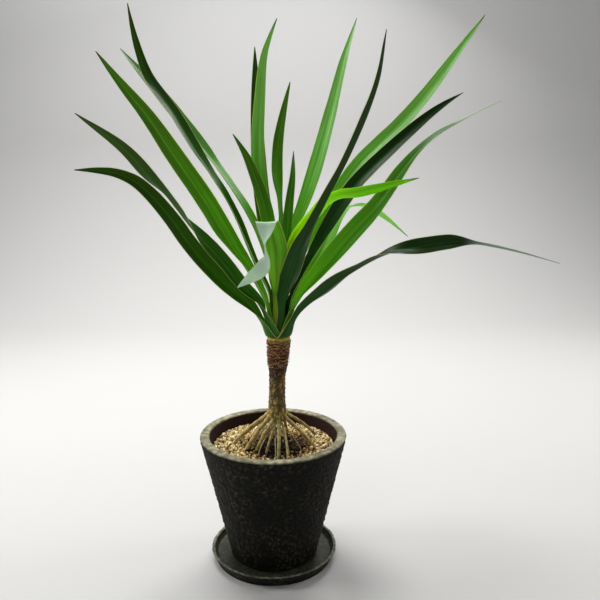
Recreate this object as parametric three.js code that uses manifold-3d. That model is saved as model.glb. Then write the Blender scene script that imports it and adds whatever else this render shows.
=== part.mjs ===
import * as THREE from "three";
import { mergeVertices } from "three/addons/utils/BufferGeometryUtils.js";
import Module from "manifold-3d";

const wasm = await Module();
wasm.setup();

// Potted dragon tree. Millimetres, +Z up. The pot's axis is x = y = 0 and the saucer stands on z = 0.

const gap = 0.3; // clearance between pieces that touch in the real thing

const saucer = {
  rimRadius: 65.5,
  height: 12,
  wall: 4.5,
  baseRadius: 61,
  floor: 5,
  edge: 1.4,
};

const pot = {
  rimRadius: 75,
  rimTop: 134,
  rimWidth: 11,
  footRadius: 46,
  footBottom: saucer.floor + gap,
  floorTop: 17,
  floorRadius: 37,
  drainRadius: 6.5,
  edge: 3,
};
pot.mouthRadius = pot.rimRadius - pot.rimWidth;

const soilTop = 108;
const dressing = { bottom: soilTop + gap, edgeHeight: 120.5, mound: 2, bump: 0.7 };

// The stem leans a little: its axis is at x = leanLow at the root collar and at x = leanHigh at the crown.
const stem = { collar: 146, crown: 230, leanLow: 4.8, leanHigh: 6, sides: 28, bump: 0.35 };

// radius of the stem at each height, from the underside of the collar to the hidden growing tip
const stemProfile = [
  [0, 145], [4, 145.2], [7.6, 147], [9.5, 150.5], [9.7, 154], [9, 160], [8.5, 168],
  [8.1, 180], [8, 192], [8.7, 200], [10.2, 207], [10.6, 214], [11.2, 221], [11.9, 226],
  [12, 229.6], [10.8, 230.4], [8, 231.5], [6.6, 238], [5, 247], [3.2, 255], [1.6, 263], [0, 268],
];

const rootBottom = 106; // roots run down through the dressing into the soil
const rootBow = 2; // how far each root bows above a straight line
// start: azimuth at the collar. azimuth and reach: where it meets the dressing. height: where it leaves the stem.
const roots = [
  { start: 184, azimuth: 181, reach: 45, height: 155, width: 3.9 },
  { start: 212, azimuth: 202, reach: 33, height: 153, width: 4.2 },
  { start: 164, azimuth: 165, reach: 41, height: 150, width: 2.6 },
  { start: 238, azimuth: 216, reach: 25, height: 150, width: 3.5 },
  { start: 257, azimuth: 243, reach: 23, height: 147, width: 2.6 },
  { start: 279, azimuth: 272, reach: 35, height: 149, width: 3.5 },
  { start: 301, azimuth: 286, reach: 37, height: 147, width: 2.3 },
  { start: 345, azimuth: 351, reach: 36, height: 151, width: 3.9 },
  { start: 16, azimuth: 28, reach: 46, height: 155, width: 3.2 },
  { start: 58, azimuth: 66, reach: 28, height: 150, width: 2.8 },
  { start: 98, azimuth: 104, reach: 38, height: 153, width: 3.4 },
  { start: 132, azimuth: 137, reach: 34, height: 151, width: 3.4 },
];

// The crown: leaf 1 is the oldest, lowest and outermost, and each next leaf sits a step higher and further in.
const crown = {
  x: 6,
  z: 230,
  firstRadius: 11.3,
  radiusStep: 0.47,
  firstRise: 1.5,
  riseStep: 2.2,
  baseShare: 0.32, // half width of a leaf's base, as a share of its distance from the stem's axis
};

const leafShape = {
  steps: 14,
  thickBase: 0.9,
  thickTip: 0.5,
  foldBase: 30, // degrees that each half is folded up at the base
  foldTip: 10,
  foldEnd: 0.4,
  spread: 0.33, // share of the length by which the full width is reached
  taper: 4,
  tipHalfWidth: 0.4,
};

// midrib: [out, up, side] from the crown's centre, along the leaf's azimuth (0 is +X, 90 is +Y).
// roll: degrees about the midrib, at even steps from base to tip.
const leaves = [
  {
    azimuth: 186, width: 18,
    midrib: [[20, 24], [38, 44], [57, 63], [82, 92], [105, 126], [128, 152], [143, 161], [163, 165], [186, 166]],
    roll: [0, -62, -56, -62, -68, -66],
  },
  {
    azimuth: 340, width: 18, steps: 30,
    midrib: [[20, 27], [48, 52], [77, 74], [106, 90], [140, 98], [175, 103], [212, 98], [256, 87]],
    roll: [0, -45, -6, 60, 62, 50],
  },
  {
    azimuth: 208, width: 17, steps: 30,
    midrib: [[20, 36], [41, 58], [61, 84], [86, 112], [111, 144], [124, 158], [145, 182], [184, 210]],
    roll: [0, -64, -62, 0, 62, 60],
  },
  {
    azimuth: 345, width: 20,
    midrib: [[15, 32], [37, 63], [70, 105], [97, 135], [122, 171], [143, 193], [178, 214], [201, 225]],
    roll: [0, 54, 66, 48, 20, 15],
  },
  {
    azimuth: 42, width: 17,
    midrib: [[22, 36], [43, 59], [67, 87], [87, 116], [105, 128], [130, 127], [160, 115], [208, 90]],
    roll: [0, 28, 6, -9, -4, 0],
  },
  {
    azimuth: 176, width: 21,
    midrib: [[13, 39, 2], [28, 66, 1], [47, 96], [71, 138], [99, 180], [123, 216], [147, 246], [168, 274]],
    roll: [0, -20, -52, -60, -58, -55],
  },
  {
    azimuth: 318, width: 20, spread: 0.16, steps: 30,
    midrib: [[8, 38], [13, 56], [29, 93], [60, 142], [82, 176], [100, 210], [112, 240], [118, 277]],
    roll: [0, -35, 8, 15, 10, 5],
  },
  {
    azimuth: 95, width: 17,
    midrib: [[16, 53, 3], [40, 96, 7], [62, 146, 12], [84, 190, 13], [106, 242, 13], [130, 300, 12]],
    roll: [0, 10, 10, 0, 0, 0],
  },
  {
    azimuth: 20, width: 18, spread: 0.45,
    midrib: [[14, 41], [31, 73], [58, 118], [83, 152], [113, 179], [153, 212], [180, 231], [207, 246]],
    roll: [0, 18, 36, 38, 48, 48],
  },
  {
    azimuth: 146, width: 18, spread: 0.45,
    midrib: [[12, 47], [28, 74], [57, 130], [94, 177], [134, 231], [161, 261], [178, 300], [187, 338]],
    roll: [0, 14, 14, -10, -26, -28],
  },
  {
    azimuth: 44, width: 18, spread: 0.5,
    midrib: [
      [15, 44, 4], [41, 91, -1], [78, 146, -11], [108, 177, -18], [156, 213, -27], [198, 250, -34],
      [238, 291, -41], [288, 343, -50],
    ],
    roll: [0, 20, 22, 32, 30, 28],
  },
  {
    azimuth: 131, width: 19,
    midrib: [[10, 48, -3], [26, 91, -1], [44, 119], [77, 152], [115, 184], [151, 212], [198, 249], [288, 313]],
    roll: [0, 28, 22, -20, -34, -32],
  },
  {
    azimuth: 92, width: 14, spread: 0.45,
    midrib: [[9, 60, 4], [21, 98, 8], [39, 150, 16], [54, 187, 18], [74, 238, 15], [94, 287, 9], [112, 326, -5]],
    roll: [0, 15, 10, 0, 0, 0],
  },
  {
    azimuth: 338, width: 15,
    midrib: [[9, 67, 4], [17, 98, 4], [35, 122, 2], [54, 140], [79, 145], [111, 153], [134, 159]],
    roll: [0, -42, -40, -36, -60, -60],
  },
  {
    azimuth: 56, width: 17, spread: 0.45,
    midrib: [[16, 78], [24, 99, 1], [42, 130, -3], [70, 171, -2], [108, 226, 3], [142, 288, 5], [168, 334, 4]],
    roll: [0, 5, 8, 8, 5, 5],
  },
  {
    azimuth: 110, width: 15, spread: 0.5,
    midrib: [[4, 55, 6], [7, 79, 6], [15, 125, 7], [25, 155, 13], [33, 180, 21], [42, 201, 31]],
    roll: [0, 8, 4, 0, 0, 0],
  },
  {
    // bent over at a crease, so that its tip hangs in front of it
    azimuth: 268, width: 22, steps: 24, fold: 14,
    midrib: [
      [4, 45, -2], [6, 60, -2], [8, 75, -2], [12, 90, -2], [19, 106, -5], [27, 118, -9], [32, 119, -10],
      [37, 111, -10], [42, 102, -11], [45, 94, -10], [47, 88, -9], [46, 80, -12], [42, 71, -22], [33, 59, -37],
    ],
    roll: [0, 0, 0, 0, 0, 0, 10, 70, 45, 20, 10],
  },
  {
    azimuth: 80, width: 13, steps: 28,
    midrib: [[6, 54, -1], [10, 78, -3], [19, 125, 2], [28, 158, 6], [40, 187, 7], [55, 224, 3], [68, 255, -2]],
    roll: [0, 10, 80, 30, 0, 0],
  },
  {
    azimuth: 30, width: 10,
    midrib: [[7, 71, 1], [10, 95, 2], [16, 137, 4], [20, 161, 5], [22, 184, 7]],
    roll: [0, 40, 45, 40, 40, 40],
  },
];

const roundSides = 40;
const rodSides = 8;
const rodSteps = 7;

const radians = THREE.MathUtils.degToRad;
const up = new THREE.Vector3(0, 0, 1);

// a repeatable number from -1 to 1
function scatter(i, j) {
  const s = Math.sin(i * 12.9898 + j * 78.233) * 43758.5453;
  return 2 * (s - Math.floor(s)) - 1;
}

function solidFrom(geometry) {
  const bare = geometry.clone();
  bare.deleteAttribute("normal");
  bare.deleteAttribute("uv");
  const merged = mergeVertices(bare, 1e-4);
  return new wasm.Manifold(
    new wasm.Mesh({
      numProp: 3,
      vertProperties: merged.attributes.position.array,
      triVerts: new Uint32Array(merged.index.array),
    }),
  );
}

function geometryFrom(solid) {
  const mesh = solid.getMesh();
  const geometry = new THREE.BufferGeometry();
  geometry.setAttribute("position", new THREE.BufferAttribute(new Float32Array(mesh.vertProperties), 3));
  geometry.setIndex(Array.from(mesh.triVerts));
  geometry.computeVertexNormals();
  return geometry;
}

// profile: [radius, height] pairs, turned about +Z with the outside on the right
function turned(profile, sides) {
  const points = profile.map(([radius, height]) => new THREE.Vector2(radius, height));
  const geometry = new THREE.LatheGeometry(points, sides);
  geometry.rotateX(Math.PI / 2);
  geometry.deleteAttribute("normal");
  geometry.deleteAttribute("uv");
  return mergeVertices(geometry, 1e-4);
}

// points on a quarter turn of a rounded edge, from angle a to angle b in degrees
function rounded(centreRadius, centreHeight, radius, a, b) {
  const points = [];
  const parts = 3;
  for (let i = 0; i <= parts; i++) {
    const angle = radians(a + ((b - a) * i) / parts);
    points.push([centreRadius + radius * Math.cos(angle), centreHeight + radius * Math.sin(angle)]);
  }
  return points;
}

function saucerGeometry() {
  const { rimRadius, height, wall, baseRadius, floor, edge } = saucer;
  const inner = rimRadius - wall;
  return turned(
    [
      [0, 0],
      [baseRadius - edge, 0],
      ...rounded(baseRadius - edge, edge, edge, -60, 0),
      ...rounded(rimRadius - edge, height - edge, edge, 0, 90),
      ...rounded(inner + edge, height - edge, edge, 90, 180),
      [inner - 1.5, floor + 1.5],
      [inner - 4, floor],
      [0, floor],
    ],
    roundSides,
  );
}

function potGeometry() {
  const { rimRadius, rimTop, footRadius, footBottom, floorTop, floorRadius, drainRadius, edge, mouthRadius } = pot;
  const profile = [
    [drainRadius, footBottom],
    [footRadius - edge, footBottom],
    ...rounded(footRadius - edge, footBottom + edge, edge, -60, 0),
    ...rounded(rimRadius - edge, rimTop - edge, edge, 0, 90),
    ...rounded(mouthRadius + edge, rimTop - edge, edge, 90, 180),
    [floorRadius + 4, floorTop + 4],
    [floorRadius, floorTop],
    [drainRadius, floorTop],
    [drainRadius, footBottom],
  ];
  return turned(profile, roundSides);
}

// inside radius of the pot at a height above its floor
function potInside(height) {
  const low = pot.floorTop + 4;
  const share = (height - low) / (pot.rimTop - pot.edge - low);
  return THREE.MathUtils.lerp(pot.floorRadius + 4, pot.mouthRadius, share);
}

function stemGeometry(extra) {
  const profile = stemProfile.map(([radius, height]) => [radius > 0 ? radius + extra : 0, height]);
  profile[0][1] -= extra;
  profile[1][1] -= extra;
  const geometry = turned(profile, stem.sides);
  const position = geometry.attributes.position;
  const point = new THREE.Vector3();
  for (let i = 0; i < position.count; i++) {
    point.fromBufferAttribute(position, i);
    const radius = Math.hypot(point.x, point.y);
    const turn = Math.atan2(point.y, point.x);
    const lump = stem.bump * Math.sin(3 * turn + point.z / 9) * Math.min(1, radius / 8);
    const share = (point.z - stem.collar) / (stem.crown - stem.collar);
    const lean = THREE.MathUtils.lerp(stem.leanLow, stem.leanHigh, THREE.MathUtils.clamp(share, 0, 1));
    const scale = radius > 1e-6 ? (radius + lump) / radius : 1;
    position.setXYZ(i, point.x * scale + lean, point.y * scale, point.z);
  }
  return geometry;
}

function fromStem(azimuth, reach, height) {
  const angle = radians(azimuth);
  return new THREE.Vector3(stem.leanLow + reach * Math.cos(angle), reach * Math.sin(angle), height);
}

// a rod of changing width along a curve
function rod(curve, widthAt, sides, steps) {
  const geometry = new THREE.CylinderGeometry(1, 1, 1, sides, steps);
  geometry.deleteAttribute("normal");
  geometry.deleteAttribute("uv");
  const merged = mergeVertices(geometry, 1e-4);
  const position = merged.attributes.position;
  for (let i = 0; i < position.count; i++) {
    const t = 0.5 - position.getY(i);
    const centre = curve.getPointAt(t);
    const along = curve.getTangentAt(t);
    const across = new THREE.Vector3().crossVectors(along, up).normalize();
    const raised = new THREE.Vector3().crossVectors(across, along);
    const half = widthAt(t) / 2;
    centre.addScaledVector(across, position.getX(i) * half);
    centre.addScaledVector(raised, -position.getZ(i) * half);
    position.setXYZ(i, centre.x, centre.y, centre.z);
  }
  return merged;
}

function rootGeometry({ start, azimuth, reach, height, width }, extra) {
  const surface = dressing.edgeHeight + 1;
  const middle = (start + 2 * azimuth) / 3 + (Math.abs(start - azimuth) > 180 ? 120 : 0);
  const curve = new THREE.CatmullRomCurve3([
    fromStem(start, 5, height + 1),
    fromStem(start, 10.5, height - 2.5),
    fromStem(middle, (10.5 + reach) / 2, (height - 2.5 + surface) / 2 + rootBow),
    fromStem(azimuth, reach, surface),
    fromStem(azimuth, reach + 3, rootBottom),
  ]);
  return rod(curve, (t) => width * (1 - 0.25 * t) + 2 * extra, rodSides, rodSteps);
}

function soilGeometry() {
  const { floorRadius, floorTop } = pot;
  return turned(
    [
      [0, floorTop + gap],
      [floorRadius - gap, floorTop + gap],
      [potInside(floorTop + 4) - gap, floorTop + 4 + gap],
      [potInside(soilTop) - gap, soilTop],
      [0, soilTop],
    ],
    roundSides,
  );
}

function dressingGeometry() {
  const { bottom, edgeHeight, mound, bump } = dressing;
  const outer = potInside(edgeHeight) - gap;
  const rings = 7;
  const profile = [[0, bottom], [potInside(bottom) - gap, bottom]];
  for (let i = rings; i >= 0; i--) {
    const radius = (outer * i) / rings;
    profile.push([radius, edgeHeight + mound * (1 - (radius / outer) ** 2)]);
  }
  const geometry = turned(profile, roundSides / 2);
  const position = geometry.attributes.position;
  for (let i = 0; i < position.count; i++) {
    const radius = Math.hypot(position.getX(i), position.getY(i));
    if (position.getZ(i) > bottom + 1 && radius < outer - 1) {
      position.setZ(i, position.getZ(i) + bump * scatter(i, 3));
    }
  }
  return geometry;
}

function smooth(keys, t) {
  const place = t * (keys.length - 1);
  const i = Math.min(Math.floor(place), keys.length - 2);
  return THREE.MathUtils.lerp(keys[i], keys[i + 1], THREE.MathUtils.smoothstep(place - i, 0, 1));
}

// Splits a blade's two broad faces along the same diagonals, so that it keeps its thickness where it twists.
function matchDiagonals(geometry) {
  const underside = geometry.groups[5];
  const index = geometry.index.array;
  for (let i = underside.start; i < underside.start + underside.count; i += 6) {
    const a = index[i];
    const b = index[i + 1];
    const c = index[i + 4];
    const d = index[i + 5];
    index.set([a, b, c, a, c, d], i);
  }
}

function leafGeometry(leaf, rank) {
  const steps = leaf.steps ?? leafShape.steps;
  const out = new THREE.Vector3(Math.cos(radians(leaf.azimuth)), Math.sin(radians(leaf.azimuth)), 0);
  const side = new THREE.Vector3(-out.y, out.x, 0);
  const baseRadius = crown.firstRadius - crown.radiusStep * rank;
  const baseRise = crown.firstRise + crown.riseStep * rank;
  const curve = new THREE.CatmullRomCurve3(
    [[baseRadius, baseRise], ...leaf.midrib].map(([outward, rise, sideways]) =>
      new THREE.Vector3(crown.x, 0, crown.z + rise)
        .addScaledVector(out, outward)
        .addScaledVector(side, sideways ?? 0),
    ),
  );
  const geometry = new THREE.BoxGeometry(2, 1, 1, 2, steps, 1);
  geometry.deleteAttribute("normal");
  geometry.deleteAttribute("uv");
  const merged = mergeVertices(geometry, 1e-4);
  matchDiagonals(merged);
  const position = merged.attributes.position;
  const baseHalf = baseRadius * crown.baseShare;
  for (let i = 0; i < position.count; i++) {
    const across = position.getX(i);
    const t = position.getY(i) + 0.5;
    const through = -position.getZ(i);
    const point = curve.getPointAt(t);
    const along = curve.getTangentAt(t);
    const wide = side.clone().addScaledVector(along, -side.dot(along)).normalize();
    const face = new THREE.Vector3().crossVectors(along, wide);
    const roll = radians(smooth(leaf.roll, t));
    wide.applyAxisAngle(along, roll);
    face.applyAxisAngle(along, roll);
    const opened = THREE.MathUtils.smoothstep(t, 0, leaf.spread ?? leafShape.spread);
    const outline = THREE.MathUtils.lerp(baseHalf, leaf.width / 2, opened) * (1 - t ** leafShape.taper);
    const half = outline + leafShape.tipHalfWidth;
    const flat = THREE.MathUtils.smoothstep(t, 0, leafShape.foldEnd);
    const fold = radians(THREE.MathUtils.lerp(leaf.fold ?? leafShape.foldBase, leafShape.foldTip, flat));
    const thick = THREE.MathUtils.lerp(leafShape.thickBase, leafShape.thickTip, t);
    point.addScaledVector(wide, across * half * Math.cos(fold));
    point.addScaledVector(face, Math.abs(across) * half * Math.sin(fold) + through * thick);
    position.setXYZ(i, point.x, point.y, point.z);
  }
  return merged;
}

function colour(hex, roughness) {
  return new THREE.MeshStandardMaterial({ color: hex, roughness, metalness: 0 });
}

const group = new THREE.Group();

function add(name, geometry, material) {
  geometry.computeVertexNormals();
  const mesh = new THREE.Mesh(geometry, material);
  mesh.name = name;
  group.add(mesh);
}

const twoDigits = (n) => String(n).padStart(2, "0");

add("saucer", saucerGeometry(), colour("#23251f", 0.6));
add("pot", potGeometry(), colour("#1c1e18", 0.8));

let soil = solidFrom(soilGeometry());
let topDressing = solidFrom(dressingGeometry());
for (const root of roots) {
  const socket = solidFrom(rootGeometry(root, gap));
  soil = soil.subtract(socket);
  topDressing = topDressing.subtract(socket);
}
add("potting_soil", geometryFrom(soil), colour("#3a2a1d", 0.95));
add("top_dressing", geometryFrom(topDressing), colour("#b89a66", 0.9));

add("stem", stemGeometry(0), colour("#7d6a3c", 0.8));

const stemSocket = solidFrom(stemGeometry(gap));
roots.forEach((root, i) => {
  const trimmed = solidFrom(rootGeometry(root, 0)).subtract(stemSocket);
  add("root_" + twoDigits(i + 1), geometryFrom(trimmed), colour("#8a7350", 0.8));
});

leaves.forEach((leaf, i) => {
  const young = i / (leaves.length - 1);
  const green = new THREE.Color("#1f5a1c").lerp(new THREE.Color("#5aa01e"), young);
  add("leaf_" + twoDigits(i + 1), leafGeometry(leaf, i), colour(green, 0.45));
});

export default group;
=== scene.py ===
import random
from math import atan2, cos, exp, hypot, pi, radians, sin, sqrt, tau

import bmesh
import bpy
from mathutils import Matrix, Vector, noise


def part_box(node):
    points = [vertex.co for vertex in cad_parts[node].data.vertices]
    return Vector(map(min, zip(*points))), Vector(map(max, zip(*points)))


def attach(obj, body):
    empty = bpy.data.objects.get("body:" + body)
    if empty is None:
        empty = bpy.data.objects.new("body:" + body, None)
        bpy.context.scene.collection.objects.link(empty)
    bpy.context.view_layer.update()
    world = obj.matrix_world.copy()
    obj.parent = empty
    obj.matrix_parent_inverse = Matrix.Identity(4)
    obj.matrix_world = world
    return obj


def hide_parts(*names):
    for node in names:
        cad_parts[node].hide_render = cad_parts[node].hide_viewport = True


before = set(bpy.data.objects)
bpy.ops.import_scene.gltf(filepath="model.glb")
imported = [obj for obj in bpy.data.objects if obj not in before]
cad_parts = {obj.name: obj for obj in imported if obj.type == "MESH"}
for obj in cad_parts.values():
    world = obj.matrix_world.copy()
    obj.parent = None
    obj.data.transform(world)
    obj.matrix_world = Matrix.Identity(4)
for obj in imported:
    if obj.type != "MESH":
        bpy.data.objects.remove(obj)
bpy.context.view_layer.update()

# Potted dragon tree. Sizes are in millimetres in the dictionaries and in metres in the meshes.
mm = 0.001
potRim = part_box("pot")[1] / mm  # half width of the rim in x, and its top in z
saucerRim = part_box("saucer")[1] / mm


# small helpers

def mix(a, b, t):
    return a + (b - a) * t


def ease(t, low=0.0, high=1.0):
    t = min(max((t - low) / (high - low), 0.0), 1.0)
    return t * t * (3 - 2 * t)


def lumps(x, y, z, size, seed=0.0):
    # smooth noise from -1 to 1 with lumps about as wide as size
    return noise.noise(Vector((x / size + seed, y / size - 2.3 * seed, z / size + 5.1 * seed)))


def paint(code):
    # a colour picker's hex code as linear red, green, blue and alpha
    parts = [int(code[i:i + 2], 16) / 255 for i in (1, 3, 5)]
    return tuple(c / 12.92 if c <= 0.04045 else ((c + 0.055) / 1.055) ** 2.4 for c in parts) + (1.0,)


def curveAt(points, t):
    # smooth curve through the points, t from 0 to 1
    place = t * (len(points) - 1)
    i = min(int(place), len(points) - 2)
    f = place - i
    p0, p1, p2, p3 = (points[min(max(i + k, 0), len(points) - 1)] for k in (-1, 0, 1, 2))
    return 0.5 * (2 * p1 + (p2 - p0) * f + (2 * p0 - 5 * p1 + 4 * p2 - p3) * f ** 2
                  + (3 * p1 - p0 - 3 * p2 + p3) * f ** 3)


def newPiece(name, bm, material, replaced=(), soft=True):
    mesh = bpy.data.meshes.new(name)
    bm.to_mesh(mesh)
    bm.free()
    if soft:
        mesh.shade_smooth()
    else:
        mesh.shade_flat()
    piece = bpy.data.objects.new(name, mesh)
    bpy.context.scene.collection.objects.link(piece)
    mesh.materials.append(material)
    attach(piece, "root")
    if replaced:
        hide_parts(*replaced)
    return piece


def openTube(columns, rows, *layerNames):
    # a grid whose verts carry (turn, along), both 0 to 1, to be wrapped and then closed
    bm = bmesh.new()
    for name in layerNames:
        bm.verts.layers.float.new(name)
    bmesh.ops.create_grid(bm, x_segments=columns, y_segments=rows, size=0.5)
    return bm, [(v, v.co.x + 0.5, v.co.y + 0.5) for v in bm.verts]


def closeTube(bm):
    bmesh.ops.remove_doubles(bm, verts=bm.verts, dist=1e-6)
    bmesh.ops.holes_fill(bm, edges=[e for e in bm.edges if e.is_boundary], sides=0)
    bmesh.ops.recalc_face_normals(bm, faces=bm.faces)


def turnedShell(profile, steps, closed=True):
    # spins [radius, height] points in millimetres round the pot's axis
    bm = bmesh.new()
    verts = [bm.verts.new((r * mm, 0, z * mm)) for r, z in profile]
    ends = verts[1:] + verts[:1] if closed else verts[1:]
    edges = [bm.edges.new(pair) for pair in zip(verts, ends)]
    bmesh.ops.spin(bm, geom=verts + edges, axis=(0, 0, 1), cent=(0, 0, 0), angle=tau, steps=steps,
                   use_merge=True)
    bmesh.ops.remove_doubles(bm, verts=bm.verts, dist=1e-6)
    bmesh.ops.recalc_face_normals(bm, faces=bm.faces)
    return bm


def arc(r, z, radius, start, stop, steps=7):
    turns = [radians(mix(start, stop, i / steps)) for i in range(steps + 1)]
    return [(r + radius * cos(a), z + radius * sin(a)) for a in turns]


def line(a, b, spacing):
    # points from a towards b, without b itself
    count = max(1, round(hypot(b[0] - a[0], b[1] - a[1]) / spacing))
    return [(mix(a[0], b[0], i / count), mix(a[1], b[1], i / count)) for i in range(count)]


# node helpers

def add(tree, kind, inputs=None, **settings):
    node = tree.nodes.new("ShaderNode" + kind)
    for key, value in settings.items():
        setattr(node, key, value)
    for key, value in (inputs or {}).items():
        if isinstance(value, bpy.types.NodeSocket):
            tree.links.new(value, node.inputs[key])
        else:
            node.inputs[key].default_value = value
    return node


def maths(tree, operation, a, b=0.5, c=0.0):
    return add(tree, "Math", {0: a, 1: b, 2: c}, operation=operation).outputs[0]


def remap(tree, value, low, high, first=0.0, last=1.0, how="LINEAR"):
    # low to high becomes first to last
    node = add(tree, "MapRange", {0: value, 1: low, 2: high, 3: first, 4: last}, interpolation_type=how)
    return node.outputs[0]


def blend(tree, factor, a, b, how="MIX"):
    node = add(tree, "Mix", {0: factor, 6: a, 7: b}, data_type="RGBA", blend_type=how)
    return node.outputs[2]


def ramp(tree, value, stops):
    # stops: (place, colour or grey level)
    node = add(tree, "ValToRGB", {"Fac": value})
    elements = node.color_ramp.elements
    while len(elements) < len(stops):
        elements.new(0.5)
    for element, (place, colour) in zip(elements, stops):
        element.position = place
        element.color = colour if isinstance(colour, tuple) else (colour, colour, colour, 1)
    return node.outputs["Color"]


def attribute(tree, name):
    return add(tree, "Attribute", attribute_name=name).outputs["Fac"]


def newMaterial(name, **constants):
    material = bpy.data.materials.new(name)
    material.use_nodes = True
    tree = material.node_tree
    tree.nodes.clear()
    shader = add(tree, "BsdfPrincipled", constants)
    out = add(tree, "OutputMaterial", {"Surface": shader.outputs[0]})
    return material, tree, shader, out


def bump(tree, shader, height, strength, distance):
    node = add(tree, "Bump", {"Strength": strength, "Distance": distance * mm, "Height": height})
    tree.links.new(node.outputs[0], shader.inputs["Normal"])


def newGroup(name, inputs, outputs):
    tree = bpy.data.node_groups.new(name, "ShaderNodeTree")
    for label, start in inputs:
        socket = tree.interface.new_socket(name=label, in_out="INPUT", socket_type="NodeSocketFloat")
        socket.default_value = start
    for label in outputs:
        tree.interface.new_socket(name=label, in_out="OUTPUT", socket_type="NodeSocketFloat")
    source = tree.nodes.new("NodeGroupInput").outputs
    target = tree.nodes.new("NodeGroupOutput").inputs
    return tree, source, target


def useGroup(tree, group, **values):
    node = tree.nodes.new("ShaderNodeGroup")
    node.node_tree = group
    for key, value in values.items():
        if isinstance(value, bpy.types.NodeSocket):
            tree.links.new(value, node.inputs[key])
        else:
            node.inputs[key].default_value = value
    return node.outputs


graining = {
    "broad": 0.12,  # scale of the mottling and of the pebbles, as a share of the fine grain's
    "pebble": 0.6,
    "speckAt": 0.63,
    "dent": -0.7,
}


def makeGrainGroup():
    # mottling, light specks and a pebbled height, for clay, soil, stone and bark
    tree, source, target = newGroup("stoneGrain", [("Size", 400.0), ("Stretch", 1.0)],
                                    ["Mottle", "Specks", "Height"])
    place = add(tree, "TexCoord").outputs["Object"]
    squash = add(tree, "CombineXYZ", {0: 1.0, 1: 1.0, 2: source["Stretch"]}).outputs[0]
    place = add(tree, "VectorMath", {0: place, 1: squash}, operation="MULTIPLY").outputs[0]
    broadScale = maths(tree, "MULTIPLY", source["Size"], graining["broad"])
    pebbleScale = maths(tree, "MULTIPLY", source["Size"], graining["pebble"])
    broad = add(tree, "TexNoise", {"Vector": place, "Scale": broadScale, "Detail": 5.0,
                                   "Roughness": 0.62})
    fine = add(tree, "TexNoise", {"Vector": place, "Scale": source["Size"], "Detail": 4.0,
                                  "Roughness": 0.7})
    pebble = add(tree, "TexVoronoi", {"Vector": place, "Scale": pebbleScale, "Randomness": 1.0})
    tree.links.new(broad.outputs[0], target["Mottle"])
    tree.links.new(maths(tree, "GREATER_THAN", fine.outputs[0], graining["speckAt"]), target["Specks"])
    height = maths(tree, "MULTIPLY_ADD", pebble.outputs["Distance"], graining["dent"], fine.outputs[0])
    tree.links.new(height, target["Height"])
    return tree


def makeLineGroup():
    # broad bands, fine lengthwise lines, pale margins and the keel of a blade
    tree, source, target = newGroup("bladeLines", [("Across", 0.0), ("Along", 0.0), ("Seed", 0.0)],
                                    ["Bands", "Lines", "Margin", "Keel"])

    def streaks(wide, long, detail):
        place = add(tree, "CombineXYZ", {0: maths(tree, "MULTIPLY", source["Across"], wide),
                                         1: maths(tree, "MULTIPLY", source["Along"], long),
                                         2: source["Seed"]}).outputs[0]
        return add(tree, "TexNoise", {"Vector": place, "Scale": 1.0, "Detail": detail,
                                      "Roughness": 0.6}).outputs[0]

    tree.links.new(streaks(3.2, 2.2, 3.0), target["Bands"])
    tree.links.new(streaks(15.0, 3.0, 2.0), target["Lines"])
    away = maths(tree, "ABSOLUTE", source["Across"])
    tree.links.new(remap(tree, away, 0.93, 0.975, how="SMOOTHSTEP"), target["Margin"])
    tree.links.new(remap(tree, away, 0.0, 0.13, 1.0, 0.0, "SMOOTHSTEP"), target["Keel"])
    return tree


stoneGrain = makeGrainGroup()
bladeLines = makeLineGroup()


# camera

view = {"place": (0, -643.8, 391.6), "down": 10.63, "turn": -2.41, "lens": 39.98}
cameraData = bpy.data.cameras.new("camera")
cameraData.lens = view["lens"]
cameraData.sensor_width = 36
camera = bpy.data.objects.new("camera", cameraData)
camera.location = Vector(view["place"]) * mm
camera.rotation_euler = (radians(90 - view["down"]), 0, radians(view["turn"]))
bpy.context.scene.collection.objects.link(camera)
bpy.context.scene.camera = camera


# pot and saucer: dark unglazed clay, pebbled outside, worn pale on the rims

clay = {
    "potSteps": 460,
    "saucerSteps": 360,
    "spacing": 1.05,
    "pebble": 1.4,  # depth of the pebbling
    "pebbleSize": 3.6,
    "sag": 0.45,  # slow hand-thrown waviness
    "footRadius": 46,
    "footHeight": 5.3,
    "rimWidth": 11,
    "rimEdge": 3,
    "floorTop": 17,
    "floorRadius": 37,
    "drainRadius": 6.5,
    "saucerBase": 61,
    "saucerWall": 4.5,
    "saucerFloor": 5,
    "saucerEdge": 1.6,
    "liningBottom": 116,  # the bare inner wall ends here, under the grit
    "liningTaper": 3,
    "rimPits": "#35342a",
}


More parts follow.
